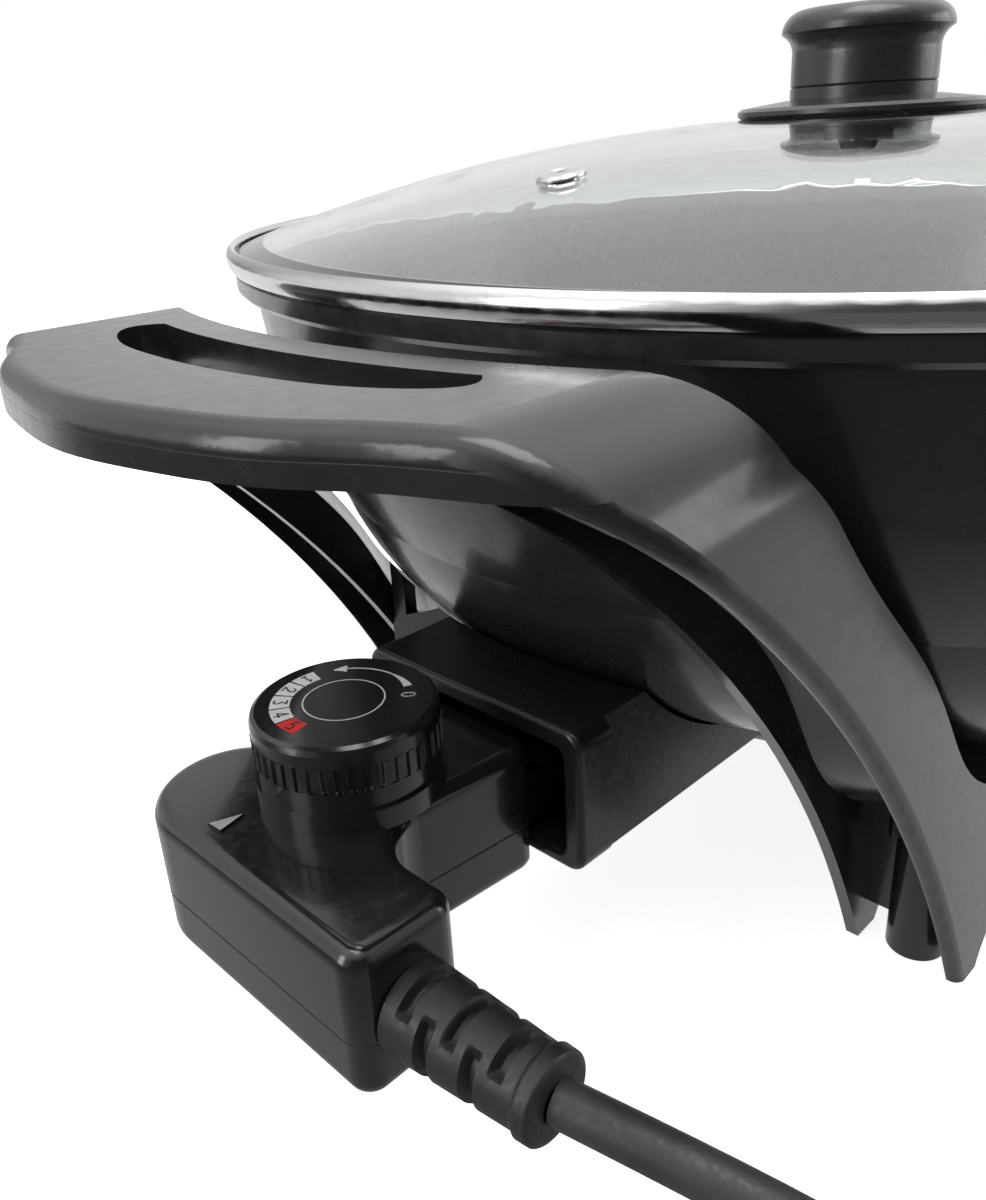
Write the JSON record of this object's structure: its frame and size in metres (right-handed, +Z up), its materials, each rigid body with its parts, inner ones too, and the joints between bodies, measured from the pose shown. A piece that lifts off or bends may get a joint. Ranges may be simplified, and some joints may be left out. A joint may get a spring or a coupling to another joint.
{
  "type": "electric wok",
  "caption": "Free-standing electric wok with a lift-off domed glass lid, loop handles that run down into legs, and a plug-in dial thermostat on a cord.",
  "frame": {"origin": "centre of the footprint of handles and pan, on the table under the pan's axis", "axes": "+Z up along the pan's axis, +X from the thermostat side to the opposite handle, +Y across the handles"},
  "size_m": [0.5042, 0.4774, 0.2033],
  "materials": {
    "pan_coating": "dark non-stick coating on cast aluminium",
    "skirt_metal": "dark heat-proof paint",
    "heater_steel": "oxidised sheath",
    "pin_metal": "nickel plated",
    "ceramic_white": "unglazed steatite",
    "guide_aluminium": "cast",
    "screw_steel": "zinc plated",
    "cover_grey": "satin grey paint",
    "handle_black": "satin moulded phenolic",
    "foot_rubber": "matte",
    "housing_black": "satin moulded phenolic",
    "lid_glass": "tempered, polished",
    "band_steel": "polished rolled stainless steel",
    "knob_plastic": "polished moulded phenolic",
    "insert_brass": "machined",
    "washer_rubber": "silicone",
    "case_black": "polished moulded phenolic",
    "probe_steel": "ground",
    "relief_rubber": "matte moulded",
    "cord_rubber": "satin jacket",
    "plug_rubber": "satin moulded",
    "dial_black": "satin moulded, fluted",
    "dial_print": "printed disc"
  },
  "bodies": {
    "wok": {"pan": "pan_coating", "heater_skirt": "skirt_metal", "heater_tube": "heater_steel", "power_pins": "pin_metal", "pin_insulators": "ceramic_white", "probe_guide": "guide_aluminium", "pan_stud": "screw_steel", "cover_nut": "screw_steel", "cover_screws": "screw_steel", "base_cover": "cover_grey", "handle_left": "handle_black", "handle_right": "handle_black", "foot_plugs": "foot_rubber", "socket_housing": "housing_black", "socket_bezel": "housing_black"},
    "lid": {"lid_glass": "lid_glass", "lid_band": "band_steel", "lid_vent": "band_steel", "lid_knob_plate": "knob_plastic", "lid_knob": "knob_plastic", "lid_knob_insert": "insert_brass", "lid_washer": "washer_rubber", "lid_screw": "screw_steel"},
    "thermostat": {"case_top": "case_black", "case_bottom": "case_black", "case_screws": "screw_steel", "plug_contacts": "insert_brass", "contact_block": "ceramic_white", "thermostat_probe": "probe_steel", "switch_block": "ceramic_white", "contact_blade": "insert_brass", "bimetal_strip": "screw_steel", "cord_relief": "relief_rubber", "cord_tube": "cord_rubber", "cord_coil": "cord_rubber", "mains_plug": "plug_rubber", "mains_pins": "pin_metal"},
    "dial": {"dial_knob": "dial_black", "dial_face": "dial_print", "dial_spindle": "screw_steel"}
  },
  "joints": [
    {"name": "lid_lift", "type": "slide", "parent": "wok", "child": "lid", "axis": [0, 0, 1], "range_m": [0, 0.08]},
    {"name": "thermostat_pull", "type": "slide", "parent": "wok", "child": "thermostat", "axis": [-1, 0, 0], "range_m": [0, 0.115]},
    {"name": "dial_turn", "type": "hinge", "parent": "thermostat", "child": "dial", "pos_m": [-0.1896, 0, 0.079], "axis": [0, 0, 1], "range_deg": [-18, 206]}
  ]
}
